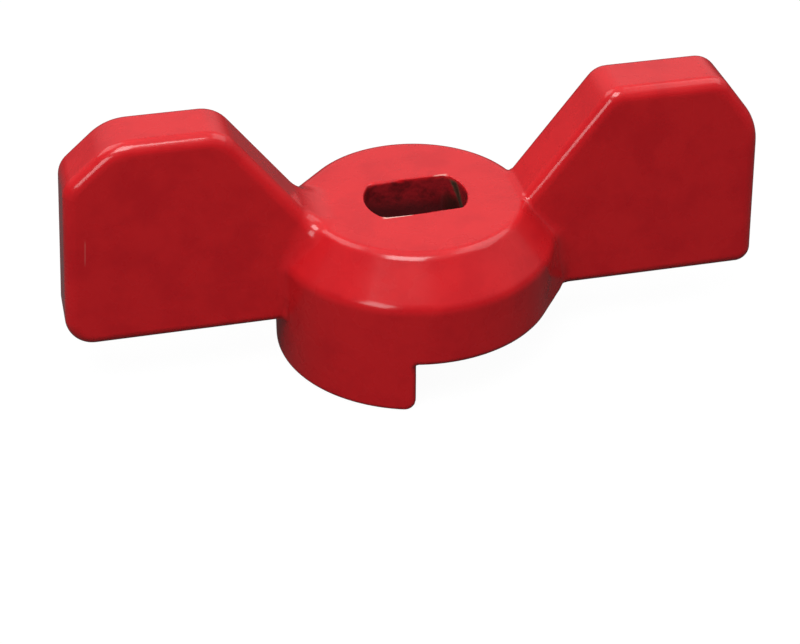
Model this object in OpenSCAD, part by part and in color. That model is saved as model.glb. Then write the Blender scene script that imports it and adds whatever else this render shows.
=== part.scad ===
// Wing handle of a small ball valve: a hub with two flat wings and a stop skirt, cast as one piece.
// Millimetres. The stem axis is Z, the wings lie along X, and the handle stands on its skirt at z = 0.

/* [Hub] */
// Outside diameter of the hub
hub_d = 24; // [22:0.1:28]
// Diameter of the flat top face that the nut sits on
face_d = 18.4; // [15:0.1:21]
// Height of the cone between the top face and the hub's upright wall
cone_h = 3.7; // [2:0.1:5]
// Height from the rim, which is level with the wings' bottom edges, to the top face
hub_h = 9.2; // [7:0.1:12]
// Rounding of the hub's two upper edges
hub_edge_r = 0.8; // [0.3:0.1:1.2]
// Rounding of the outer edge of the rim and of the skirt
rim_edge_r = 0.9; // [0.3:0.1:1.3]

/* [Stem slot] */
// Length of the slot, across the stem's round sides
slot_l = 8.9; // [7:0.1:11]
// Width of the slot, across the stem's two flats
slot_w = 5.6; // [4.2:0.1:6.6]
// Thickness of the web that the slot goes through
web_t = 4; // [3:0.1:5]

/* [Underside] */
// Diameter of the recess that clears the gland nut
recess_d = 18; // [14:0.1:19]
// Fillet between the recess wall and the web
recess_r = 0.8; // [0.3:0.1:1.2]
// Chamfer at the mouth of the recess
mouth_c = 0.4; // [0.2:0.1:0.6]

/* [Wings] */
// Length over both wings
span = 60; // [50:0.5:75]
// Thickness of a wing
wing_t = 5.7; // [4.5:0.1:7]
// Height of a wing's top edge above the hub's top face
wing_rise = 9.3; // [7:0.1:12]
// Height above the hub's top face at which the outer edge turns into the chamfer
shoulder_rise = 5.1; // [2:0.1:6]
// Distance that the outer edge leans in over its height
lean = 1.05; // [0.2:0.05:2]
// Length of the chamfer across the outer top corner, measured along the wing
chamfer_l = 3.6; // [2:0.1:5]
// Length of the flat top edge
top_l = 9.4; // [6:0.1:12]
// Distance from the stem axis at which the inner slope leaves the top face
slope_foot = 8.9; // [7.5:0.1:9.1]
// Rounding along all the wings' edges
wing_edge_r = 1.1; // [0.6:0.05:1.5]
// Radius of the upper corners, seen from the side
corner_r = 3; // [1.8:0.1:4]
// Radius of the lower outer corner, seen from the side
heel_r = 2.2; // [1.8:0.1:3.5]
// Fillet between the wings and the hub
root_r = 1.3; // [0.8:0.1:2]

/* [Stop skirt] */
// Depth of the skirt below the hub's rim
skirt_h = 4.5; // [3:0.1:7]
// Thickness of the skirt
skirt_t = 2.3; // [1.6:0.1:2.4]
// Angle that the handle turns between the valve's open and closed stops
travel = 90; // [60:1:120]
// Angle that the valve body's stop lug takes up between the skirt's two ends
lug_angle = 25; // [15:1:40]
// Direction of the middle of the skirt, from the right wing
skirt_mid = 135; // [100:1:180]
// Radius of the skirt's lower corners, seen from outside
skirt_corner_r = 0.9; // [0.4:0.1:1.5]

/* [Hidden] */
coat = [0.78, 0.12, 0.14];
round_fn = 120;
hull_fn = 32;
arc_steps = 5;
// Small overlap, so that joined and cut solids cross cleanly
eps = 0.02;
// How far a fillet's surface is let into the faces that it joins
bite = 0.03;

hub_r = hub_d / 2;
face_r = face_d / 2;
recess_r0 = recess_d / 2;
half_t = wing_t / 2;
half_span = span / 2;
rim_z = -hub_h;
wing_z = rim_z + eps;
skirt_z = -hub_h - skirt_h;
skirt_in = hub_r - skirt_t;
skirt_top = rim_z + 2 * rim_edge_r;
skirt_angle = 360 - travel - lug_angle;

// The wing's outline in the XZ plane, from the inner bottom corner and round the outside. Its lower
// outer corner stands out past the span by what the heel's rounding takes off.
lean_angle = atan(lean / (hub_h + shoulder_rise));
corner_x = half_span + heel_r * (tan(lean_angle) + 1 / cos(lean_angle) - 1);
top_out = corner_x - lean - chamfer_l;
top_in = top_out - top_l;
slope_run = (top_in - slope_foot) / wing_rise;
wing_outline = [
    [slope_foot - slope_run * hub_h, wing_z],
    [corner_x, wing_z],
    [corner_x - lean, shoulder_rise],
    [top_out, wing_rise],
    [top_in, wing_rise]
];
wing_corner_r = [wing_edge_r + eps, heel_r, corner_r, corner_r, corner_r];

// The cone's slope, and the line that a ball of the fillet's radius follows between wing and hub
cone_run = hub_r - face_r;
cone_normal = atan2(cone_run, cone_h);
ball_y = half_t + root_r;
ball_gap = root_r / cos(cone_normal);
bend_z = -cone_h + (ball_gap - root_r) * cone_h / cone_run;

// Points of an arc about [x, y]
function arc(x, y, r, from, to) = [
    for (i = [0:arc_steps]) let (a = from + (to - from) * i / arc_steps) [x + r * cos(a), y + r * sin(a)]
];

function unit(v) = v / norm(v);

// Centre of a circle of radius r that touches both sides of corner i of a convex outline
function corner_centre(points, i, r) =
    let (
        n = len(points),
        here = points[i],
        u = unit(points[(i + n - 1) % n] - here),
        v = unit(points[(i + 1) % n] - here),
        half = acos(u * v) / 2
    )
    here + unit(u + v) * r / sin(half);

// Points of the arc that rounds corner b, between its neighbours a and c
function round_corner(a, b, c, r) =
    let (
        u = unit(a - b),
        v = unit(c - b),
        half = acos(u * v) / 2,
        centre = b + unit(u + v) * r / sin(half),
        from = b + u * r / tan(half) - centre,
        to = b + v * r / tan(half) - centre,
        a0 = atan2(from[1], from[0]),
        turn = (atan2(to[1], to[0]) - a0 + 540) % 360 - 180
    )
    arc(centre[0], centre[1], r, a0, a0 + turn);

// Where the ball's centre stands at a height, as its distance from the stem axis along the wing
function ball_x(reach) = sqrt(reach * reach - ball_y * ball_y);

// Half of the hub's section: flat face, cone, upright wall and rim
module hub_body() {
    top = [face_r, 0];
    shoulder = [hub_r, -cone_h];
    foot = [hub_r, rim_z];
    rotate_extrude($fn = round_fn)
        polygon(concat(
            [[0, rim_z], [0, 0]],
            round_corner([0, 0], top, shoulder, hub_edge_r),
            round_corner(top, shoulder, foot, hub_edge_r),
            round_corner(shoulder, foot, [0, rim_z], rim_edge_r)
        ));
}

// A disc that stands in the XZ plane, with its rim rounded to the wings' edge radius
module rim_disc(r) {
    flat = r - wing_edge_r;
    side = half_t - wing_edge_r;
    rotate([90, 0, 0])
        rotate_extrude($fn = hull_fn)
            polygon(concat(
                [[0, -half_t]],
                arc(flat, -side, wing_edge_r, -90, 0),
                arc(flat, side, wing_edge_r, 0, 90),
                [[0, half_t]]
            ));
}

// One wing: a plate with rounded edges, spanned over a rounded disc at each corner of its outline
module wing() {
    hull()
        for (i = [0:len(wing_outline) - 1]) {
            c = corner_centre(wing_outline, i, wing_corner_r[i]);
            translate([c[0], 0, c[1]])
                rim_disc(wing_corner_r[i]);
        }
}

// A slice of the corner between the wing and the hub, out to the ball's centre
module root_slice(reach, z) {
    translate([0, 0, z])
        linear_extrude(eps)
            polygon([[0, 0], [ball_x(reach), 0], [ball_x(reach), ball_y]]);
}

// The fillet in one of the four corners: what a ball rolled down the cone and the wall leaves
module root_fillet() {
    upright = ball_x(hub_r + root_r);
    leaning = ball_x(face_r + ball_gap);
    tilt = atan2(upright - leaning, -bend_z);
    difference() {
        union() {
            translate([0, 0, rim_z + rim_edge_r / 2])
                linear_extrude(hub_h - rim_edge_r / 2 + bend_z)
                    polygon([[0, 0], [upright, 0], [upright, ball_y]]);
            hull() {
                root_slice(hub_r + root_r, bend_z - eps);
                root_slice(face_r + ball_gap, -hub_edge_r * (1 - sin(cone_normal)) - eps);
            }
        }
        translate([upright - bite, ball_y - bite, rim_z])
            cylinder(h = hub_h + bend_z, r = root_r, $fn = round_fn);
        translate([upright - bite, ball_y - bite, bend_z])
            rotate([0, -tilt, 0])
                translate([0, 0, -root_r])
                    cylinder(h = hub_h + root_r, r = root_r, $fn = round_fn);
    }
}

// The part-ring that hangs below the rim and meets the valve body's stops
module skirt() {
    inner = skirt_in - eps;
    start = skirt_mid - skirt_angle / 2;
    difference() {
        rotate([0, 0, start])
            rotate_extrude(angle = skirt_angle, $fn = round_fn)
                polygon(concat(
                    [[inner, skirt_top], [inner, skirt_z]],
                    round_corner([inner, skirt_z], [hub_r, skirt_z], [hub_r, 0], rim_edge_r),
                    [[hub_r, skirt_top]]
                ));
        for (side = [0, 1])
            rotate([0, 0, side == 0 ? start : start + skirt_angle])
                mirror([0, side, 0])
                    skirt_corner_cut();
    }
}

// What is taken off a lower corner of the skirt, at an end that lies on +X
module skirt_corner_cut() {
    r = skirt_corner_r;
    translate([0, 0, skirt_z])
        rotate([90, 0, 90])
            linear_extrude(hub_r + eps)
                difference() {
                    translate([-r, -r])
                        square(2 * r - bite);
                    translate([r - bite, r - bite])
                        circle(r, $fn = round_fn);
                }
}

// The hollow under the web, open at the rim and on through the skirt
module recess() {
    r = recess_r0;
    top = -web_t;
    rotate_extrude($fn = round_fn)
        polygon(concat(
            [[0, skirt_z - eps], [0, top]],
            round_corner([0, top], [r, top], [r, rim_z], recess_r),
            [[r, rim_z + mouth_c], [r + mouth_c, rim_z], [skirt_in, rim_z], [skirt_in, skirt_z - eps]]
        ));
}

// The double-D hole for the stem
module stem_slot() {
    intersection() {
        translate([0, 0, -web_t - eps])
            cylinder(h = web_t + 2 * eps, d = slot_l, $fn = round_fn);
        translate([-slot_l / 2, -slot_w / 2, -web_t - 2 * eps])
            cube([slot_l, slot_w, web_t + 4 * eps]);
    }
}

module wing_handle() {
    color(coat)
        translate([0, 0, -skirt_z])
            difference() {
                union() {
                    hub_body();
                    for (side = [0, 1])
                        mirror([side, 0, 0]) {
                            wing();
                            for (face = [0, 1])
                                mirror([0, face, 0])
                                    root_fillet();
                        }
                    skirt();
                }
                recess();
                stem_slot();
            }
}

wing_handle();
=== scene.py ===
"""A coated wing handle for a small ball valve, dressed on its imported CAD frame.

The handle is one casting: a coned hub with a double-D stem slot, two flat wings and a part-ring skirt.
Its skin is a set of two-parameter grids. They are laid along the casting's own section and edges, joined,
and then settled onto one field that gives the signed distance to the rounded and filleted form.
Lengths are in metres, the stem axis is Z, and the wings lie along X.
"""

import bpy
import numpy as np
from bpy.props import FloatProperty, FloatVectorProperty, PointerProperty
from mathutils import Matrix, Quaternion, Vector


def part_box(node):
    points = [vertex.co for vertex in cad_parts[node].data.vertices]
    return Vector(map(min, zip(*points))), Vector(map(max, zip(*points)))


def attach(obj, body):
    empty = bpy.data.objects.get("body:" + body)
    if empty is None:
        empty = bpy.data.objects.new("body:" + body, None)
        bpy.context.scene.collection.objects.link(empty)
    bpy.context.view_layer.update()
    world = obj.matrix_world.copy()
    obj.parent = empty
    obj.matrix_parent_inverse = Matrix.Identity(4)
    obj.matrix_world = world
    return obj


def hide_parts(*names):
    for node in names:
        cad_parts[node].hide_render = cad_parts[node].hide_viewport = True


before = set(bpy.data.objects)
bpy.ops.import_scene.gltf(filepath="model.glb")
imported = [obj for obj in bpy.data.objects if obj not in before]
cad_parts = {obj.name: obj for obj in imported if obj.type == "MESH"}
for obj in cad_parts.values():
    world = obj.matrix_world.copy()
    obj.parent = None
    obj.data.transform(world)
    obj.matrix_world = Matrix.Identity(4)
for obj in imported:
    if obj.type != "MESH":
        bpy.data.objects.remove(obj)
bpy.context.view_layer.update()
box_low, box_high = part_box("wing_handle")

bl_info = {
    "name": "Wing valve handle",
    "version": (1, 0, 0),
    "blender": (4, 5, 0),
    "location": "View3D > Sidebar > Handle",
    "description": "Builds a coated wing handle on its CAD frame, with a studio round it",
    "category": "Mesh",
}

MM = 0.001

# How far down those sections run that are endless until the rim plane cuts them
DEEP = 40 * MM

# Spans of height over the rim, in which a wing's sole rounding becomes its edge rounding, and in
# which the fillet below the left wing ends
SOLE_TO_EDGE = (0.3 * MM, 2 * MM)
SOLE_FILLET_END = (0.1 * MM, 0.5 * MM)
# Span of height under the rim, below zero above it, in which the wall's fillet becomes the rim's
WALL_TO_RIM = (-3 * MM, -0.3 * MM)
# Spans of distance outwards from a wing's faces, in which the sole's rounding becomes the rim's, and
# in which the fillet below the left wing ends
SOLE_TO_RIM = (-0.3 * MM, 0.9 * MM)
SOLE_FILLET_SIDE = (0, 0.8 * MM)
# Share of the skirt's height over which the rim's rounding becomes the skirt's
RIM_TO_SKIRT = (0.1, 0.3)

# Radii of the skirt's lower corners, of its inner edge and of the fillet where it meets the rim, and
# the share of that fillet that is left away from the left wing
SKIRT_CORNER = 1 * MM
SKIRT_INNER_EDGE = 0.3 * MM
SKIRT_FILLET = 0.2 * MM
LEAST_SHARE = 0.001
# Radii of the recess at its top and mouth, and of the slot's upright corners
RECESS_TOP = 0.8 * MM
RECESS_MOUTH = 0.4 * MM
SLOT_CORNER = 0.3 * MM
# Rounding of the slot's edge in millimetres, what wear adds to it, and the span along -X in which the
# wear grows
SLOT_EDGE = 0.09
SLOT_WEAR = 0.20
WEAR_ALONG = (1 * MM, 3.5 * MM)

# Longest move in a round of settling, the least squared slope and the least length that it divides by,
# and the most that the settled skin may lie off its form
LONGEST_MOVE = 0.4 * MM
LEAST_SLOPE = 0.05
TINY = 1e-12
CLOSE = 0.002 * MM
# Points that round to the same multiple of this are one
SAME_PLACE = 1e-8

# Steps of the hub's grid over the top face, the cone, the wall, the rim where the skirt hangs, the rim
# inside it, the recess wall, the web and the slot wall
HUB_STEPS = [24, 18, 20, 12, 4, 16, 16, 14]
# Columns of the hub's grid, one for each degree, that a wing takes up on each side of its middle
PATCH_HALF = 21
# Steps along a wing, how many of them blend it into the hub, and steps down the skirt
WING_STEPS = 74
ROOT_STEPS = 8
SKIRT_STEPS = 18

# Where the marks on the coat lie: the strip of bare metal, a patch of painted shade at the slot's right
# end, and painted highlights on the slot's long edges and along the left wing's outer edge. They are in
# millimetres along X (along), Y (across) and Z (up), or below the top face (deep). A mark fades in
# between a span's first two numbers and out between its last two. The slant is how far the strip comes
# forward with each millimetre of depth, and a share is how strongly a mark shows.
STRIP_ALONG = (3.4, 3.9)
STRIP_ACROSS = (1.6, 2.1, 2.3, 2.8)
STRIP_SLANT = 0.6
# A patch of painted shade, low at the back of the slot's right end
END_SHADE_ALONG = (2.6, 3.9)
END_SHADE_ACROSS = (0.9, 1.7)
END_SHADE_DEEP = (1.3, 2.3)
# Painted highlights on the slot's near and far long edges: where they lie along X, their width out from
# the flat, how strongly the far one shows, and how deep they reach
NEAR_GLINT_ALONG = (-3.5, -3.1, -1.1, -0.7)
NEAR_GLINT_WIDTH = (0.27, 0.21)
FAR_GLINT_ALONG = (2.2, 2.7, 3.3, 3.7)
FAR_GLINT_WIDTH = (0.14, 0.08)
FAR_GLINT_SHARE = 0.6
GLINT_DEEP = (0.12, 0.07)
# The painted highlight along the left wing's outer edge: its span up, its width and how strongly it shows
EDGE_GLINT_UP = (12.3, 12.9, 14.4, 15.0)
EDGE_GLINT_WIDTH = (0.06, 0.01)
EDGE_GLINT_SHARE = 0.2
# The painted highlight's line along the left wing's outer edge: X and Z of a point of it, and how far X
# moves for each Z
EDGE_GLINT_X = -27.76 * MM
EDGE_GLINT_Z = 14.9 * MM
EDGE_GLINT_LEAN = 0.087

# The values of noise, from 0 to 1, between which a mottle, blotch or change of gloss comes in, and how
# strongly the mottle and the blotches show
MOTTLE_NOISE = (0.40, 0.68)
MOTTLE_SHARE = 0.6
BLOTCH_NOISE = (0.38, 0.70)
BLOTCH_SHARE = 0.7
GLOSS_NOISE = (0.3, 0.7)
# Depths at which the slot's thin coat takes over from the red one, and at which painted shade darkens it
# further down, and how dark that shade gets. Then the height of the first one's ragged edge, and how far
# outside the slot's round it ends.
THIN_DEEP = (0, 0.40 * MM)
PAINTED_SHADE_DEEP = (1.5 * MM, 3.0 * MM)
PAINTED_SHADE_SHARE = 0.85
RAGGED = 0.5 * MM
THIN_MARGIN = (0.3 * MM, 0.15 * MM)
# Roughness where the coat is glossiest and where it is dullest, and what the slot adds to it
GLOSS = (0.24, 0.34)
SLOT_DULL = 0.3
# The long waves in the coat and the grain in the slot: their length over the orange peel's, and heights
SAG_LENGTH = 5.5
SAG_HEIGHT = 2.5
GRAIN_HEIGHT = 6.0

# Name of each lamp, its azimuth and elevation in degrees, its distance, width and height in metres, its
# radiance, and its roll in degrees
LAMPS = (
    ("key_box", -26, 61, 0.45, 0.220, 0.225, 8.2, 0),
    ("low_box", -42, 23, 0.45, 0.165, 0.150, 4.7, -20),
    ("top_panel", 60, 82, 0.60, 0.72, 0.72, 0.28, 0),
    ("left_panel", -128, 50, 0.50, 0.30, 0.28, 2.1, 0),
    ("right_panel", 92, 52, 0.50, 0.42, 0.30, 1.5, 0),
)
# The point that the lamps face, and half the floor's width
LAMP_AIM = (0, 0, 12 * MM)
FLOOR_HALF = 3.0
# Height of a direction, as a share of straight up, from which the surroundings give their full light
FULL_SKY = 0.40

# Place, lens in millimetres, and directions of the camera that gives the photo's view
EYE = (-34.36 * MM, -140.05 * MM, 99.24 * MM)
LENS = 89.58
EYE_RIGHT = (0.97350728, -0.22864083, 0.00263466)
EYE_UP = (0.12675725, 0.54922541, 0.82600487)
EYE_AHEAD = (0.19030546, 0.8037878, -0.56365682)


def length(name, description, default):
    """A length in metres, shown in the scene's own units."""
    return FloatProperty(
        name=name, description=description, default=default, min=0.0, unit="LENGTH", precision=5
    )


def turn(name, description, degrees):
    """An angle, given here in degrees."""
    return FloatProperty(
        name=name, description=description, default=np.radians(degrees), unit="ROTATION"
    )


def amount(name, description, default):
    """A plain number, zero or more."""
    return FloatProperty(name=name, description=description, default=default, min=0)


def each_wing(name, description, left, right):
    """Two lengths in metres: the left wing's and the right wing's."""
    pair = (left, right)
    return FloatVectorProperty(
        name=name, description=description, default=pair, min=0.0, size=2, unit="LENGTH", precision=5
    )


def each_turn(name, description, left, right):
    """Two angles, given here in degrees: the left wing's and the right wing's."""
    pair = np.radians((left, right))
    return FloatVectorProperty(
        name=name, description=description, default=pair, size=2, unit="ROTATION"
    )


def tint(name, description, default):
    """A colour in linear red, green and blue."""
    return FloatVectorProperty(
        name=name, description=description, default=default, min=0.0, max=1.0, size=3, subtype="COLOR"
    )


class CastingSizes(bpy.types.PropertyGroup):
    """Sizes of the casting. The first three come from the CAD node's box."""

    span: length("Span", "Length over both wings", box_high.x - box_low.x)
    hub: length("Hub", "Outside diameter of the hub", box_high.y - box_low.y)
    height: length("Height", "From the skirt's lower edge to the wings' top", box_high.z - box_low.z)
    face: length("Face", "Diameter of the hub's flat top face", 18.4 * MM)
    face_z: length("Face height", "Height of the hub's top face", 13.7 * MM)
    rim_z: length("Rim height", "Height of the rim and of the wings' lower edges", 4.5 * MM)
    cone: length("Cone", "Height of the cone between top face and wall", 3.7 * MM)
    slot_length: length("Slot length", "Length of the stem slot", 8.9 * MM)
    slot_width: length("Slot width", "Width of the stem slot across its flats", 5.6 * MM)
    slot_coat: length("Slot coat", "Extra coat that has run into the slot's left end", 0.25 * MM)
    slot_turn: turn("Slot turn", "Turn of the slot from the wings' line", 1.2)
    web: length("Web", "Thickness of the web under the top face", 4 * MM)
    recess: length("Recess", "Diameter of the hollow under the web", 18 * MM)
    thickness: length("Wing thickness", "Thickness of a wing", 5.7 * MM)
    shoulder: each_wing("Shoulder", "Height of a wing's shoulder over the top face", 5.75 * MM, 4.57 * MM)
    lean: each_wing("Lean", "How far a wing's outer edge leans in", 1.07 * MM, 0.70 * MM)
    chamfer: each_wing("Chamfer", "Length of a wing's chamfer, along the wing", 4.05 * MM, 3.60 * MM)
    top: each_wing("Top edge", "Length of a wing's flat top edge", 8.95 * MM, 9.75 * MM)
    foot: each_wing("Slope foot", "Distance of a wing's slope foot from the axis", 8.93 * MM, 8.86 * MM)
    heel: each_wing("Heel", "Radius of a wing's lower outer corner", 2.34 * MM, 1.40 * MM)
    shoulder_bend: each_wing("Shoulder bend", "Radius of a wing's shoulder", 2.25 * MM, 6.0 * MM)
    outer_bend: each_wing("Outer bend", "Radius of a wing's outer upper corner", 4.6 * MM, 2.1 * MM)
    inner_bend: each_wing("Inner bend", "Radius of a wing's inner upper corner", 2.9 * MM, 2.0 * MM)
    skirt: length("Skirt", "Thickness of the skirt", 2.3 * MM)
    skirt_start: turn("Skirt start", "Where the skirt starts, from the right wing", 12.5)
    skirt_end: turn("Skirt end", "Where the skirt ends, from the right wing", 257.5)
    face_edge: length("Face edge", "Rounding between the top face and the cone", 1.1 * MM)
    wall_edge: length("Wall edge", "Rounding between the cone and the wall", 1.6 * MM)
    rim_edge: length("Rim edge", "Rounding of the rim", 0.6 * MM)
    skirt_edge: length("Skirt edge", "Rounding of the skirt's lower edge and ends", 0.45 * MM)
    wing_edge: length("Wing edge", "Rounding along the wings' upper and outer edges", 1.1 * MM)
    wing_sole: length("Wing sole", "Rounding along the wings' lower edges", 1.0 * MM)
    root_face: each_wing("Face root", "Fillet between a wing and the top face", 1.6 * MM, 0.4 * MM)
    root_wall: each_wing("Wall root", "Fillet between a wing and the hub's wall", 0.8 * MM, 0.8 * MM)
    root_rim: length("Rim root", "Fillet between the wings and the rim", 0.2 * MM)
    flare: each_turn("Flare", "Angle, at the rim, from which the wall runs straight into a wing", 13, 36)
    flare_top: each_turn("Flare top", "The same angle at the top face", 45, 15.5)


class CoatLook(bpy.types.PropertyGroup):
    """Colours and surface of the coat."""

    colour: tint("Coat", "Colour of the coat", (0.66, 0.013, 0.018))
    shade: tint("Coat shade", "Colour where the coat pools or thins a little", (0.55, 0.008, 0.014))
    slot_coat: tint("Slot coat", "Colour of the thin coat inside the slot", (0.30, 0.010, 0.015))
    # Colour of the slot coat's blotches, and of the painted shade that darkens the slot lower down
    slot_blotch_and_shade: tint("Slot shade", "Colour where that coat is darkest", (0.08, 0.005, 0.007))
    # Colour of a patch of painted shade, low at the back of the slot's right end
    end_shade: tint("Pit", "Colour of the pit in the slot's right end", (0.05, 0.010, 0.008))
    # Painted highlight: a pale colour for the lamps' reflections on the slot's long edges and along the
    # left wing's outer edge
    painted_glint: tint("Chip", "Colour of the slot's edge where the coat has chipped", (0.82, 0.42, 0.36))
    metal: tint("Bare metal", "Colour of the cast metal where the coat misses it", (0.16, 0.14, 0.09))
    peel: length("Peel", "Distance between the orange peel's waves", 1.1 * MM)
    peel_depth: length("Peel depth", "Height of the orange peel's waves", 0.010 * MM)


class StudioLook(bpy.types.PropertyGroup):
    """Floor, lamps and surroundings."""

    floor: tint("Floor", "Colour of the floor", (0.05, 0.05, 0.05))
    lift: amount("Lift", "White that is added to the floor as seen", 0.965)
    gleam: amount("Gleam", "Share of that white that reflections show", 0.02)
    room: amount("Room", "Mean light from the surroundings", 0.22)
    horizon: amount("Horizon", "Share of that light left at the horizon", 0.2)
    room_side: FloatVectorProperty(
        name="Room side",
        description="How much the surroundings' light grows along X, Y and Z",
        default=(0.12, 0.17, 0.12),
    )


def ease(v, start, end):
    """0 up to start, 1 from end, and a smooth S between them: three squares less two cubes."""
    t = np.clip((v - start) / (end - start), 0, 1)
    return t * t * (3 - 2 * t)


def between(a, b, share):
    """a where the share is 0, b where it is 1, and in proportion between: a plus the share of b less a."""
    return a + (b - a) * share


def meet(a, b, r):
    """Distance to what two solids share, with their common edge rounded to radius r.

    Where both distances are above minus r, it is the length of the two parts above minus r, less r.
    Elsewhere it is the greater of the two.
    """
    return np.minimum(np.maximum(a, b), -r) + np.hypot(np.maximum(a + r, 0), np.maximum(b + r, 0))


def join(a, b, r):
    """Distance to two solids together, with a fillet of radius r: meet for their outsides, negated."""
    return -meet(-a, -b, r)


def outline_distance(u, v, corners, radii):
    """Distance to a convex outline with rounded corners, in the plane of u and v.

    It is the greatest of the distances to the sides, and between the two points where a corner's circle
    touches its sides it is the distance to that circle. The corners run anticlockwise.
    """
    corners = np.asarray(corners)
    edge = np.roll(corners, -1, axis=0) - corners
    normal = np.stack([edge[:, 1], -edge[:, 0]], axis=1) / np.linalg.norm(edge, axis=1)[:, None]
    reach = (normal * corners).sum(axis=1)
    found = np.max(u[..., None] * normal[:, 0] + v[..., None] * normal[:, 1] - reach, axis=-1)
    for i, r in enumerate(radii):
        if r > 0:
            before, after = normal[i - 1], normal[i]
            centre = np.linalg.solve(np.stack([before, after]), np.array([reach[i - 1] - r, reach[i] - r]))
            du, dv = u - centre[0], v - centre[1]
            beyond = (before[0] * dv - before[1] * du >= 0) & (du * after[1] - dv * after[0] >= 0)
            found = np.where(beyond, np.hypot(du, dv) - r, found)
    return found


def wing_corners(s, wing):
    """Corners of a wing's outline in X and Z, from the inner lower one and round the outside.

    The wing is 0 for the left and 1 for the right, and both are given as if they lay on +X. The lower
    outer corner stands out past the span by what the heel's rounding takes off there: its radius times
    the lean's tangent, plus one over its cosine, less one.
    """
    top = s.height
    shoulder = s.face_z + s.shoulder[wing]
    slope = s.lean[wing] / (shoulder - s.rim_z)
    tilt = np.arctan(slope)
    tip = s.span / 2 + s.heel[wing] * (np.tan(tilt) + 1 / np.cos(tilt) - 1)
    lean_end = tip - s.lean[wing]
    outer = lean_end - s.chamfer[wing]
    inner = outer - s.top[wing]
    run = (inner - s.foot[wing]) / (top - s.face_z)
    foot = s.foot[wing] - run * (s.face_z - s.rim_z)
    return np.array([[foot, s.rim_z], [tip, s.rim_z], [lean_end, shoulder], [outer, top], [inner, top]])


def wing_distances(p, s):
    """Distances to the wings' outlines, seen from the side: whole, and endless below the rim plane.

    The endless outline has its two lower corners moved down along the slope's and the outer edge's
    lines, and left sharp.
    """
    whole, endless = np.empty(len(p)), np.empty(len(p))
    for wing, here in enumerate((p[:, 0] < 0, p[:, 0] >= 0)):
        x, z = np.abs(p[here, 0]), p[here, 2]
        corners = wing_corners(s, wing)
        bend = [0, s.heel[wing], s.shoulder_bend[wing], s.outer_bend[wing], s.inner_bend[wing]]
        whole[here] = outline_distance(x, z, corners, bend)
        lower = corners.copy()
        lower[0] += (corners[0] - corners[4]) * DEEP / (corners[4, 1] - corners[0, 1])
        lower[1] += (corners[1] - corners[2]) * DEEP / (corners[2, 1] - corners[1, 1])
        endless[here] = outline_distance(x, z, lower, [0, 0, *bend[2:]])
    return whole, endless


def hub_reach(p, s):
    """Distance of each point from the stem axis, as the hub's section is measured.

    It is the radius, but in front of the right wing and behind the left one the hub leaves its circle at
    an angle and runs straight into the wing. There it is the distance along the direction of that angle,
    which changes smoothly from the rim to the top face. Across the wing it eases back to the radius.
    """
    right = (p[:, 0] >= 0).astype(int)
    x, y = np.abs(p[:, 0]), p[:, 1] * (1 - 2 * right)
    low, high = np.array(s.flare)[right], np.array(s.flare_top)[right]
    angle = between(low, high, ease(p[:, 2], s.rim_z, s.face_z))
    straight = np.arctan2(y, x) < angle
    radius, along = np.hypot(x, y), x * np.cos(angle) + y * np.sin(angle)
    return between(radius, along, straight * ease(y, -s.thickness / 2, s.thickness / 2))


def skirt_room(p, s):
    """Distance to the room that the skirt may hang in.

    It lies between the skirt's two ends, above the floor and outside the skirt's inner radius. The ends
    are upright planes through the axis more than half a turn apart, so the lesser distance counts.
    """
    x, y, z = p[:, 0], p[:, 1], p[:, 2]
    start, end = s.skirt_start, s.skirt_end
    ends = np.minimum(np.sin(start) * x - np.cos(start) * y, np.cos(end) * y - np.sin(end) * x)
    inner = s.hub / 2 - s.skirt - np.hypot(x, y)
    return meet(meet(ends, -z, SKIRT_CORNER), inner, SKIRT_INNER_EDGE)


def slot_distance(p, s):
    """Distance to the slot: what a round hole and the space between two flats share.

    The flats are turned a little. The coat that has run into the left end takes its thickness off the
    round hole's diameter and moves its middle half as far to the right.
    """
    x, y = p[:, 0], p[:, 1]
    round_end = np.hypot(x - s.slot_coat / 2, y) - (s.slot_length - s.slot_coat) / 2
    turned = y * np.cos(s.slot_turn) - x * np.sin(s.slot_turn)
    return meet(round_end, np.abs(turned) - s.slot_width / 2, SLOT_CORNER)


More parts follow.
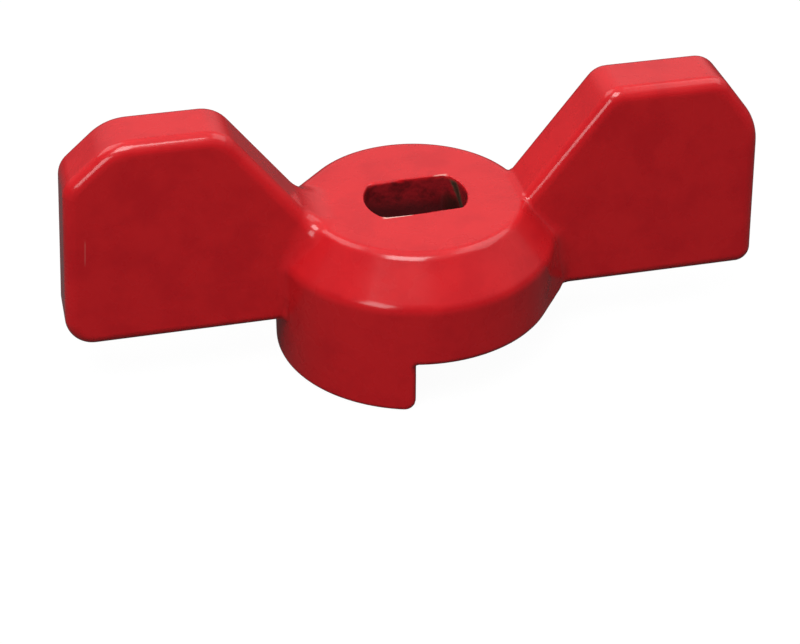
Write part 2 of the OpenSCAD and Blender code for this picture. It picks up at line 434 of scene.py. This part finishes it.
def casting_distance(p, s):
    """Signed distance from points to the casting's surface, below zero inside.

    Hub and wings are endless downwards until the rim plane cuts them together, so that their fillet
    runs out through the rim. Far out, each wing is its whole outline between its two faces. The skirt is
    the hub's drum where it may hang lower than the rim, with a small fillet under the left wing. Recess
    and slot are cut out last. Where an edge has one radius here and another there, it eases between them.
    """
    x, y, z = np.abs(p[:, 0]), p[:, 1], p[:, 2]
    radius = np.hypot(x, y)
    hub_r, face_r, cone_z = s.hub / 2, s.face / 2, s.face_z - s.cone
    rim = s.rim_z - z

    section = [(hub_r, -DEEP), (hub_r, cone_z), (face_r, s.face_z)]
    section += [(-r, h) for r, h in section[::-1]]
    bend = [0, s.wall_edge, s.face_edge, 0, 0, 0]
    hub = outline_distance(hub_reach(p, s), z, section, bend)

    whole, endless = wing_distances(p, s)
    side = np.abs(y) - s.thickness / 2
    edge = between(s.wing_sole, s.wing_edge, ease(-rim, *SOLE_TO_EDGE))
    plate = meet(endless, side, edge)
    tip = meet(whole, side, edge)

    right = (p[:, 0] >= 0).astype(int)
    root_wall = np.array(s.root_wall)[right]
    root = between(np.array(s.root_face)[right], root_wall, ease(s.face_z - z, 0, s.cone))
    root += (s.root_rim - root_wall) * ease(rim, *WALL_TO_RIM)
    sole = between(s.rim_edge, s.wing_sole, 1 - ease(side, *SOLE_TO_RIM))
    body = meet(join(hub, plate, root), rim, sole)
    body = np.where(x > (hub_r + s.span / 2) / 2, tip, body)

    lower_edge = between(s.rim_edge, s.skirt_edge, ease(rim / s.rim_z, *RIM_TO_SKIRT))
    drum = outline_distance(radius, z, section, bend)
    drum = meet(drum, join(rim, skirt_room(p, s), SKIRT_FILLET), lower_edge)
    under_left = (p[:, 0] < 0) * (1 - ease(side, *SOLE_FILLET_SIDE)) * (1 - ease(-rim, *SOLE_FILLET_END))
    body = join(body, drum, SKIRT_FILLET * np.maximum(under_left, LEAST_SHARE))

    recess_r, web_z = s.recess / 2, s.face_z - s.web
    hollow = [(-recess_r, -DEEP), (recess_r, -DEEP), (recess_r, web_z), (-recess_r, web_z)]
    recess = outline_distance(radius, z, hollow, [0, 0, RECESS_TOP, RECESS_TOP])
    body = meet(body, -recess, RECESS_MOUTH)
    worn = ease(y, 0, s.slot_width / 2) * ease(-p[:, 0], *WEAR_ALONG)
    return meet(body, -slot_distance(p, s), (SLOT_EDGE + SLOT_WEAR * worn) * MM)


def casting_slope(p, s, step=2e-6):
    """Slope of the distance at each point: along each axis, its change from a step back to a step on."""
    steps = step * np.eye(3)
    return np.stack(
        [(casting_distance(p + d, s) - casting_distance(p - d, s)) / (2 * step) for d in steps], axis=1
    )


def settle(p, s, rounds):
    """Points moved onto the surface.

    Each round moves a point against the slope, by its distance over the slope's length, and no farther
    than the longest move.
    """
    for _ in range(rounds):
        slope = casting_slope(p, s)
        squared = np.maximum((slope**2).sum(axis=1), LEAST_SLOPE)
        move = -casting_distance(p, s)[:, None] * slope / squared[:, None]
        size = np.maximum(np.linalg.norm(move, axis=1), TINY)
        p = p + move * np.minimum(1, LONGEST_MOVE / size)[:, None]
    return p


def even_out(p, faces, s, rounds):
    """Points moved halfway to the mean of their neighbours and settled again, so the grid runs evenly."""
    edges = np.concatenate([faces[:, [k, (k + 1) % 4]] for k in range(4)])
    edges = np.unique(np.sort(edges, axis=1), axis=0)
    here, there = np.concatenate([edges, edges[:, ::-1]]).T
    neighbours = np.bincount(here, minlength=len(p))[:, None]
    for _ in range(rounds):
        total = np.stack([np.bincount(here, p[there, k], len(p)) for k in range(3)], axis=1)
        p = settle((p + total / neighbours) / 2, s, rounds=3)
    return p


def spaced(count, start, end):
    """Numbers from 0 to 1 whose steps shrink by the shares start and end towards either side.

    A step is 1, less start times the fourth power of a cosine and end times that of a sine.
    """
    t = np.linspace(0, 1, count + 1)
    step = 1 - start * np.cos(np.pi * t / 2) ** 4 - end * np.sin(np.pi * t / 2) ** 4
    step = (step[1:] + step[:-1]) / 2
    return np.concatenate([[0], np.cumsum(step) / step.sum()])


def hub_grid(s):
    """The hub's skin as a grid: columns are directions about the axis, and rows follow its section.

    The section starts at the slot's edge and runs over the top face, the cone, the wall, the rim, the
    recess and the web's underside to the slot's lower edge, and up the slot's wall. Its innermost
    stops follow the double-D, which is the lesser of the round radius and the flat's distance.
    """
    way = np.radians(np.arange(360) + 0.5)
    slot = np.minimum(s.slot_length / 2, s.slot_width / 2 / np.abs(np.sin(way)))
    web_z, cone_z = s.face_z - s.web, s.face_z - s.cone
    hub_r, skirt_r, recess_r = s.hub / 2, s.hub / 2 - s.skirt, s.recess / 2
    stops = [(slot, s.face_z), (s.face / 2, s.face_z), (hub_r, cone_z), (hub_r, s.rim_z)]
    stops += [(skirt_r, s.rim_z), (recess_r, s.rim_z), (recess_r, web_z), (slot, web_z), (slot, s.face_z)]
    radius, height = [], []
    for (r0, z0), (r1, z1), count in zip(stops[:-1], stops[1:], HUB_STEPS):
        t = spaced(count, start=0.6, end=0.6)[:-1, None]
        radius.append(r0 + (r1 - r0) * t + 0 * way)
        height.append(z0 + (z1 - z0) * t + 0 * way)
    radius, height = np.concatenate(radius), np.concatenate(height)
    grid = np.stack([radius * np.cos(way), radius * np.sin(way), height], axis=2)
    return grid, np.concatenate([[0], np.cumsum(HUB_STEPS)])


def wing_block(root, side, s):
    """A wing pulled out of the hub, as a block of points along, up and across it.

    Along the wing, a point goes from its place on the hub's patch, root, to its place on a flat
    plate: the mean of the lower edge and the path over slope, top and chamfer, weighted by height.
    """
    corners = wing_corners(s, int(side > 0))
    over = np.concatenate([[[s.face / 2, s.face_z]], corners[:1:-1]])
    walked = np.concatenate([[0], np.cumsum(np.linalg.norm(np.diff(over, axis=0), axis=1))])
    along = spaced(WING_STEPS, start=0.55, end=0.6)
    upper = np.stack([np.interp(along * walked[-1], walked, over[:, k]) for k in (0, 1)], axis=1)
    lower = np.stack([s.hub / 2 + (corners[1, 0] - s.hub / 2) * along, s.rim_z + 0 * along], axis=1)
    up = spaced(root.shape[0] - 1, start=0.65, end=0.65)[None, :, None]
    section = lower[:, None] * (1 - up) + upper[:, None] * up
    across = side * np.linspace(-s.thickness / 2, s.thickness / 2, root.shape[1])
    plate = np.empty((len(along), *root.shape))
    plate[..., 0] = side * section[:, :, None, 0]
    plate[..., 1] = across
    plate[..., 2] = section[:, :, None, 1]
    share = ease(np.arange(len(along)) / ROOT_STEPS, 0, 1)[:, None, None, None]
    return root * (1 - share) + plate * share


def skirt_block(rim, s):
    """The skirt as a block of points: the rim's patch carried straight down to the floor."""
    block = np.repeat(rim[None], SKIRT_STEPS + 1, axis=0)
    block[..., 2] -= (spaced(SKIRT_STEPS, start=0.3, end=0.6) * s.rim_z)[:, None, None]
    return block


def block_sides(block):
    """The five grids round a block that stays open where it was pulled from."""
    return [block[-1], block[:, 0], block[:, -1], block[:, :, 0], block[:, :, -1]]


def sewn(grids):
    """Grids joined into one mesh of four-sided faces, with the points they share made one.

    Each grid is a pair: its points, and which of its faces to keep, or None for all. Points are shared
    when they round to the same place.
    """
    points, faces, count = [], [], 0
    for grid, keep in grids:
        index = np.arange(grid.shape[0] * grid.shape[1]).reshape(grid.shape[:2]) + count
        quads = np.stack([index[:-1, :-1], index[1:, :-1], index[1:, 1:], index[:-1, 1:]], axis=-1)
        faces.append(quads.reshape(-1, 4) if keep is None else quads[keep])
        points.append(grid.reshape(-1, 3))
        count += index.size
    points, faces = np.concatenate(points), np.concatenate(faces)
    rounded = np.round(points / SAME_PLACE).astype(np.int64)
    _, first, place = np.unique(rounded, axis=0, return_index=True, return_inverse=True)
    faces = place.reshape(-1)[faces]
    used, faces = np.unique(faces, return_inverse=True)
    return points[first[used]], faces.reshape(-1, 4)


def casting_skin(s):
    """Points and faces of the whole casting: hub grid, two wings and the skirt, sewn and settled.

    The hub's own faces are left out where a wing or the skirt is pulled from it. A face that looks
    against the slope of the distance is turned round.
    """
    grid, stop = hub_grid(s)
    columns = grid.shape[1]
    keep = np.ones(grid.shape[:2], bool)
    grids = []
    for side, middle in ((1, 0), (-1, 180)):
        column = np.arange(middle - PATCH_HALF, middle + PATCH_HALF) % columns
        keep[stop[1] : stop[3], column[:-1]] = False
        root = grid[stop[1] : stop[3] + 1][::-1, column]
        grids += [(g, None) for g in block_sides(wing_block(root, side, s))]
    column = np.arange(round(np.degrees(s.skirt_start)), round(np.degrees(s.skirt_end)))
    keep[stop[3] : stop[4], column[:-1]] = False
    grids += [(g, None) for g in block_sides(skirt_block(grid[stop[3] : stop[4] + 1][:, column], s))]
    closed = np.concatenate([grid, grid[:1]])
    closed = np.concatenate([closed, closed[:, :1]], axis=1)
    points, faces = sewn([(closed, keep), *grids])
    points = even_out(settle(points, s, rounds=12), faces, s, rounds=6)
    points = settle(points, s, rounds=3)
    corners = points[faces]
    across = np.cross(corners[:, 2] - corners[:, 0], corners[:, 3] - corners[:, 1])
    turned = (across * casting_slope(corners.mean(axis=1), s)).sum(axis=1) < 0
    faces[turned] = faces[turned, ::-1]
    return points, faces


def node(tree, kind, values=None, **settings):
    """A new node with its settings, and its input sockets set or linked by name or number."""
    made = tree.nodes.new(kind)
    for key, value in settings.items():
        setattr(made, key, value)
    for key, value in (values or {}).items():
        if isinstance(value, bpy.types.NodeSocket):
            tree.links.new(value, made.inputs[key])
        else:
            made.inputs[key].default_value = value
    return made


def math(tree, operation, *values):
    """The result of a Math node."""
    made = node(tree, "ShaderNodeMath", dict(enumerate(values)), operation=operation)
    return made.outputs[0]


def times(tree, first, *others):
    """The product of two or more values."""
    for other in others:
        first = math(tree, "MULTIPLY", first, other)
    return first


def fade(tree, value, start, end, low=0.0, high=1.0):
    """A smooth change from low to high as value goes from start to end."""
    values = {"Value": value, "From Min": start, "From Max": end, "To Min": low, "To Max": high}
    return node(tree, "ShaderNodeMapRange", values, interpolation_type="SMOOTHSTEP").outputs["Result"]


def inside(tree, value, span):
    """A fade in between a span's first two numbers, times a fade out between its last two, if it has four.

    The span is in millimetres.
    """
    found = fade(tree, value, span[0] * MM, span[1] * MM)
    if len(span) == 4:
        found = times(tree, found, fade(tree, value, span[3] * MM, span[2] * MM))
    return found


def noise(tree, place, wave, detail=2.0, roughness=0.5):
    """Noise of a given wave length, in metres, over the object's own coordinates."""
    values = {"Vector": place, "Scale": 1 / wave, "Detail": detail, "Roughness": roughness}
    return node(tree, "ShaderNodeTexNoise", values).outputs["Fac"]


def blend(tree, share, a, b):
    """A mix of two colours, a where the share is 0 and b where it is 1."""
    a, b = (c if isinstance(c, bpy.types.NodeSocket) else (*c, 1) for c in (a, b))
    return node(tree, "ShaderNodeMix", {0: share, 6: a, 7: b}, data_type="RGBA").outputs[2]


def new_material(name):
    """An empty material's node tree, and the material."""
    material = bpy.data.materials.new(name)
    material.use_nodes = True
    material.node_tree.nodes.clear()
    return material.node_tree, material


def slot_places(tree, place, axis, s):
    """Depth below the top face, the same depth with noise added to it, and 1 within the slot's round."""
    squares = [math(tree, "POWER", axis[k], 2.0) for k in (0, 1)]
    radius = math(tree, "SQRT", math(tree, "ADD", *squares))
    ragged = math(tree, "SUBTRACT", noise(tree, place, wave=0.7 * MM, detail=3.0), 0.5)
    depth = math(tree, "SUBTRACT", s.face_z, axis[2])
    ragged_depth = math(tree, "ADD", depth, times(tree, ragged, RAGGED))
    within = fade(tree, radius, *[s.slot_length / 2 + margin for margin in THIN_MARGIN])
    return depth, ragged_depth, within


def bare_strip(tree, axis, depth):
    """1 on the strip of bare metal at the slot's right end, which comes forward with its depth."""
    slanted = math(tree, "ADD", axis[1], times(tree, depth, STRIP_SLANT))
    return times(tree, inside(tree, axis[0], STRIP_ALONG), inside(tree, slanted, STRIP_ACROSS))


def end_shade_mark(tree, axis, depth):
    """1 in a patch of painted shade, low at the back of the slot's right end."""
    along, deep = inside(tree, axis[0], END_SHADE_ALONG), inside(tree, depth, END_SHADE_DEEP)
    return times(tree, along, deep, inside(tree, axis[1], END_SHADE_ACROSS))


def rim_glint(tree, axis, depth, within, s):
    """1 on the painted highlights along the slot's two long edges, near and far, just at the top face.

    A highlight's width is measured outwards from the slot's turned flat.
    """
    turned = math(tree, "SUBTRACT", axis[1], times(tree, axis[0], np.sin(s.slot_turn)))
    beside = math(tree, "SUBTRACT", math(tree, "ABSOLUTE", turned), s.slot_width / 2)
    near = times(tree, inside(tree, axis[0], NEAR_GLINT_ALONG), math(tree, "LESS_THAN", turned, 0.0))
    near = times(tree, near, inside(tree, beside, NEAR_GLINT_WIDTH))
    far = times(tree, inside(tree, axis[0], FAR_GLINT_ALONG), math(tree, "GREATER_THAN", turned, 0.0))
    far = times(tree, far, inside(tree, beside, FAR_GLINT_WIDTH))
    both = math(tree, "ADD", near, times(tree, far, FAR_GLINT_SHARE))
    return times(tree, both, times(tree, inside(tree, depth, GLINT_DEEP), within))


def edge_glint_mark(tree, axis):
    """The faint painted highlight on the left wing's front, along its rounded outer edge: a thin leaning
    line, by the distance of X from it.
    """
    moved = times(tree, math(tree, "SUBTRACT", axis[2], EDGE_GLINT_Z), -EDGE_GLINT_LEAN)
    off = math(tree, "ABSOLUTE", math(tree, "SUBTRACT", math(tree, "ADD", axis[0], moved), EDGE_GLINT_X))
    line = times(tree, inside(tree, off, EDGE_GLINT_WIDTH), inside(tree, axis[2], EDGE_GLINT_UP))
    return times(tree, line, math(tree, "LESS_THAN", axis[1], 0.0), EDGE_GLINT_SHARE)


def coat_material(look, s):
    """Gloss coat over cast metal: red, softly mottled, with two waves of orange peel.

    Inside the slot it is thin, blotchy and duller, with painted shade that darkens it lower down. Over it
    lie the strip of bare metal, a patch of painted shade at the slot's right end, painted highlights on
    the slot's two long edges, and a faint painted highlight along the left wing's outer edge.
    """
    tree, material = new_material("coating")
    place = node(tree, "ShaderNodeTexCoord").outputs["Object"]
    axis = node(tree, "ShaderNodeSeparateXYZ", {0: place}).outputs
    depth, ragged_depth, within = slot_places(tree, place, axis, s)

    mottle = fade(tree, noise(tree, place, wave=3.5 * MM, detail=4.0, roughness=0.6), *MOTTLE_NOISE)
    colour = blend(tree, times(tree, mottle, MOTTLE_SHARE), look.colour, look.shade)

    in_slot = times(tree, fade(tree, ragged_depth, *THIN_DEEP), within)
    blotch = noise(tree, place, wave=1.1 * MM, detail=4.0, roughness=0.6)
    blotch = fade(tree, blotch, *BLOTCH_NOISE, high=BLOTCH_SHARE)
    # Painted shade: the slot's coat darkens towards the bottom of the slot
    deep = fade(tree, ragged_depth, *PAINTED_SHADE_DEEP, high=PAINTED_SHADE_SHARE)
    thin = blend(tree, math(tree, "MAXIMUM", blotch, deep), look.slot_coat, look.slot_blotch_and_shade)
    colour = blend(tree, in_slot, colour, thin)

    bare = times(tree, bare_strip(tree, axis, ragged_depth), in_slot)
    colour = blend(tree, bare, colour, look.metal)
    # Painted shade low at the back of the slot's right end
    colour = blend(tree, times(tree, end_shade_mark(tree, axis, ragged_depth), in_slot), colour, look.end_shade)
    # Painted highlights on the slot's long edges
    colour = blend(tree, rim_glint(tree, axis, depth, within, s), colour, look.painted_glint)
    # A faint painted highlight along the left wing's outer edge
    colour = blend(tree, edge_glint_mark(tree, axis), colour, look.painted_glint)

    gloss = fade(tree, noise(tree, place, wave=2.2 * MM, detail=3.0), *GLOSS_NOISE, *GLOSS)
    roughness = math(tree, "ADD", gloss, times(tree, in_slot, SLOT_DULL))

    peel = noise(tree, place, wave=look.peel, detail=1.5)
    sag = times(tree, noise(tree, place, wave=SAG_LENGTH * look.peel, detail=1.0), SAG_HEIGHT)
    grain = times(tree, noise(tree, place, wave=0.35 * MM, detail=3.0), in_slot)
    height = math(tree, "ADD", math(tree, "ADD", peel, sag), times(tree, grain, GRAIN_HEIGHT))
    bump = node(tree, "ShaderNodeBump", {"Height": height, "Strength": 1.0, "Distance": look.peel_depth})
    values = {
        "Base Color": colour,
        "Metallic": bare,
        "Roughness": roughness,
        "IOR": 1.45,
        "Normal": bump.outputs[0],
        "Coat Weight": 1.0,
        "Coat Roughness": 0.14,
        "Coat IOR": 1.42,
        "Specular IOR Level": 0.15,
    }
    shader = node(tree, "ShaderNodeBsdfPrincipled", values)
    node(tree, "ShaderNodeOutputMaterial", {0: shader.outputs[0]})
    return material


def seen_white(tree, look):
    """1 for rays from the camera or through glass, the gleam's share for reflections, 0 for the rest."""
    path = node(tree, "ShaderNodeLightPath").outputs
    straight = math(tree, "MAXIMUM", path["Is Camera Ray"], path["Is Transmission Ray"])
    return math(tree, "MAXIMUM", straight, times(tree, path["Is Glossy Ray"], look.gleam))


def floor_material(look):
    """A matt floor with a faint grain, made pale by the white that is added for the rays that see it."""
    tree, material = new_material("floor_paper")
    place = node(tree, "ShaderNodeTexCoord").outputs["Object"]
    grain = noise(tree, place, wave=2 * MM)
    bump = node(tree, "ShaderNodeBump", {"Height": grain, "Strength": 0.2, "Distance": 0.05 * MM})
    matt = node(tree, "ShaderNodeBsdfDiffuse", {"Color": (*look.floor, 1), "Normal": bump.outputs[0]})
    strength = times(tree, seen_white(tree, look), look.lift)
    glow = node(tree, "ShaderNodeEmission", {"Strength": strength})
    both = node(tree, "ShaderNodeAddShader", {0: matt.outputs[0], 1: glow.outputs[0]})
    node(tree, "ShaderNodeOutputMaterial", {0: both.outputs[0]})
    return material


def mesh_object(name, points, faces, material, normals=None):
    """An object at the origin that shows the given points and faces, shaded smooth or by given normals."""
    mesh = bpy.data.meshes.new(name)
    mesh.from_pydata(points.tolist(), [], faces.tolist())
    mesh.polygons.foreach_set("use_smooth", np.ones(len(faces), bool))
    mesh.materials.append(material)
    mesh.validate()
    if normals is not None:
        mesh.normals_split_custom_set_from_vertices(normals.tolist())
    made = bpy.data.objects.new(name, mesh)
    bpy.context.scene.collection.objects.link(made)
    return made


def towards(azimuth, elevation, distance):
    """A point seen from the handle: azimuth 0 is the viewer's side, -Y, and 90 is +X."""
    a, e = np.radians(azimuth), np.radians(elevation)
    return Vector((np.sin(a) * np.cos(e), -np.cos(a) * np.cos(e), np.sin(e))) * distance


def soft_box(name, azimuth, elevation, distance, width, height, radiance, roll):
    """A rectangular lamp that faces the handle. Its power is pi times its area times its radiance."""
    lamp = bpy.data.lights.new(name, "AREA")
    lamp.shape = "RECTANGLE"
    lamp.size, lamp.size_y = width, height
    lamp.energy = np.pi * width * height * radiance
    made = bpy.data.objects.new(name, lamp)
    aim = Vector(LAMP_AIM)
    made.location = aim + towards(azimuth, elevation, distance)
    facing = (aim - made.location).to_track_quat("-Z", "Y") @ Quaternion((0, 0, 1), np.radians(roll))
    made.rotation_euler = facing.to_euler()
    bpy.context.scene.collection.objects.link(made)


def surroundings(look):
    """A world that is white where it is seen, and lights the handle softly.

    Its light is a mean plus what it grows along X, Y and Z, never below zero, and falls off towards
    the horizon.
    """
    world = bpy.data.worlds.new("surroundings")
    world.use_nodes = True
    tree = world.node_tree
    tree.nodes.clear()
    way = node(tree, "ShaderNodeTexCoord").outputs["Generated"]
    side = node(tree, "ShaderNodeVectorMath", {0: way, 1: look.room_side}, operation="DOT_PRODUCT")
    soft = math(tree, "MAXIMUM", math(tree, "ADD", side.outputs["Value"], look.room), 0.0)
    rise = node(tree, "ShaderNodeSeparateXYZ", {0: way}).outputs[2]
    soft = times(tree, soft, fade(tree, rise, 0.0, FULL_SKY, low=look.horizon, high=1.0))
    seen = seen_white(tree, look)
    strength = math(tree, "ADD", times(tree, soft, math(tree, "SUBTRACT", 1.0, seen)), seen)
    glow = node(tree, "ShaderNodeBackground", {"Color": (1, 1, 1, 1), "Strength": strength})
    node(tree, "ShaderNodeOutputWorld", {0: glow.outputs[0]})
    return world


def photo_camera():
    """The camera at the photo's viewing angle. Its own axes are right, up and backwards."""
    camera = bpy.data.cameras.new("camera")
    camera.sensor_width = 36.0
    camera.lens = LENS
    camera.clip_start, camera.clip_end = 0.01, 10.0
    eye = bpy.data.objects.new("camera", camera)
    facing = Matrix((Vector(EYE_RIGHT), Vector(EYE_UP), -Vector(EYE_AHEAD))).transposed()
    eye.matrix_world = Matrix.Translation(EYE) @ facing.to_4x4()
    bpy.context.scene.collection.objects.link(eye)
    return eye


class HANDLE_OT_casting(bpy.types.Operator):
    """Build the coated casting in the place of its CAD node"""

    bl_idname = "handle.casting"
    bl_label = "Casting"
    bl_options = {"REGISTER", "UNDO"}

    def execute(self, context):
        """Build the piece, whose normals are the slopes of the distance, brought to length one."""
        sizes = context.scene.handle_sizes
        points, faces = casting_skin(sizes)
        off = np.abs(casting_distance(points, sizes)).max()
        if off > CLOSE:
            raise RuntimeError(f"the casting's skin stays {off / MM:.4f} mm off its form")
        slope = casting_slope(points, sizes)
        normals = slope / np.linalg.norm(slope, axis=1)[:, None]
        coat = coat_material(context.scene.handle_coat, sizes)
        casting = mesh_object("wing_handle_casting", points, faces, coat, normals)
        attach(casting, "root")
        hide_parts("wing_handle")
        return {"FINISHED"}


class HANDLE_OT_stage(bpy.types.Operator):
    """Build the floor, the soft lamps, the surroundings and the camera"""

    bl_idname = "handle.stage"
    bl_label = "Stage"
    bl_options = {"REGISTER", "UNDO"}

    def execute(self, context):
        """Build the stage, whose floor is one square face at the skirt's lower edge."""
        scene = context.scene
        look = scene.handle_studio
        points = np.array([[-1, -1, 0], [1, -1, 0], [1, 1, 0], [-1, 1, 0]]) * FLOOR_HALF
        floor = mesh_object("floor", points, np.array([[0, 1, 2, 3]]), floor_material(look))
        for lamp in LAMPS:
            soft_box(*lamp)
        scene.world = surroundings(look)
        scene.camera = photo_camera()
        scene.view_settings.view_transform = "Standard"
        return {"FINISHED"}


class HANDLE_PT_sidebar(bpy.types.Panel):
    """The handle's operators and settings"""

    bl_idname = "HANDLE_PT_sidebar"
    bl_label = "Wing valve handle"
    bl_space_type = "VIEW_3D"
    bl_region_type = "UI"
    bl_category = "Handle"

    def draw(self, context):
        """A button for each operator, and under them a box for each group of settings."""
        layout = self.layout
        for operator in (HANDLE_OT_casting, HANDLE_OT_stage):
            layout.operator(operator.bl_idname)
        scene = context.scene
        for group in (scene.handle_sizes, scene.handle_coat, scene.handle_studio):
            part = layout.box()
            for name in group.bl_rna.properties.keys():
                if name not in ("rna_type", "name"):
                    part.prop(group, name)


CLASSES = (CastingSizes, CoatLook, StudioLook, HANDLE_OT_casting, HANDLE_OT_stage, HANDLE_PT_sidebar)


def register():
    """Register the classes and give the scene its settings."""
    for each in CLASSES:
        bpy.utils.register_class(each)
    bpy.types.Scene.handle_sizes = PointerProperty(type=CastingSizes)
    bpy.types.Scene.handle_coat = PointerProperty(type=CoatLook)
    bpy.types.Scene.handle_studio = PointerProperty(type=StudioLook)


def unregister():
    """Take the settings and the classes away again."""
    del bpy.types.Scene.handle_studio
    del bpy.types.Scene.handle_coat
    del bpy.types.Scene.handle_sizes
    for each in reversed(CLASSES):
        bpy.utils.unregister_class(each)


def main():
    """Build the whole scene."""
    register()
    bpy.ops.handle.stage()
    bpy.ops.handle.casting()


if __name__ == "__main__":
    main()
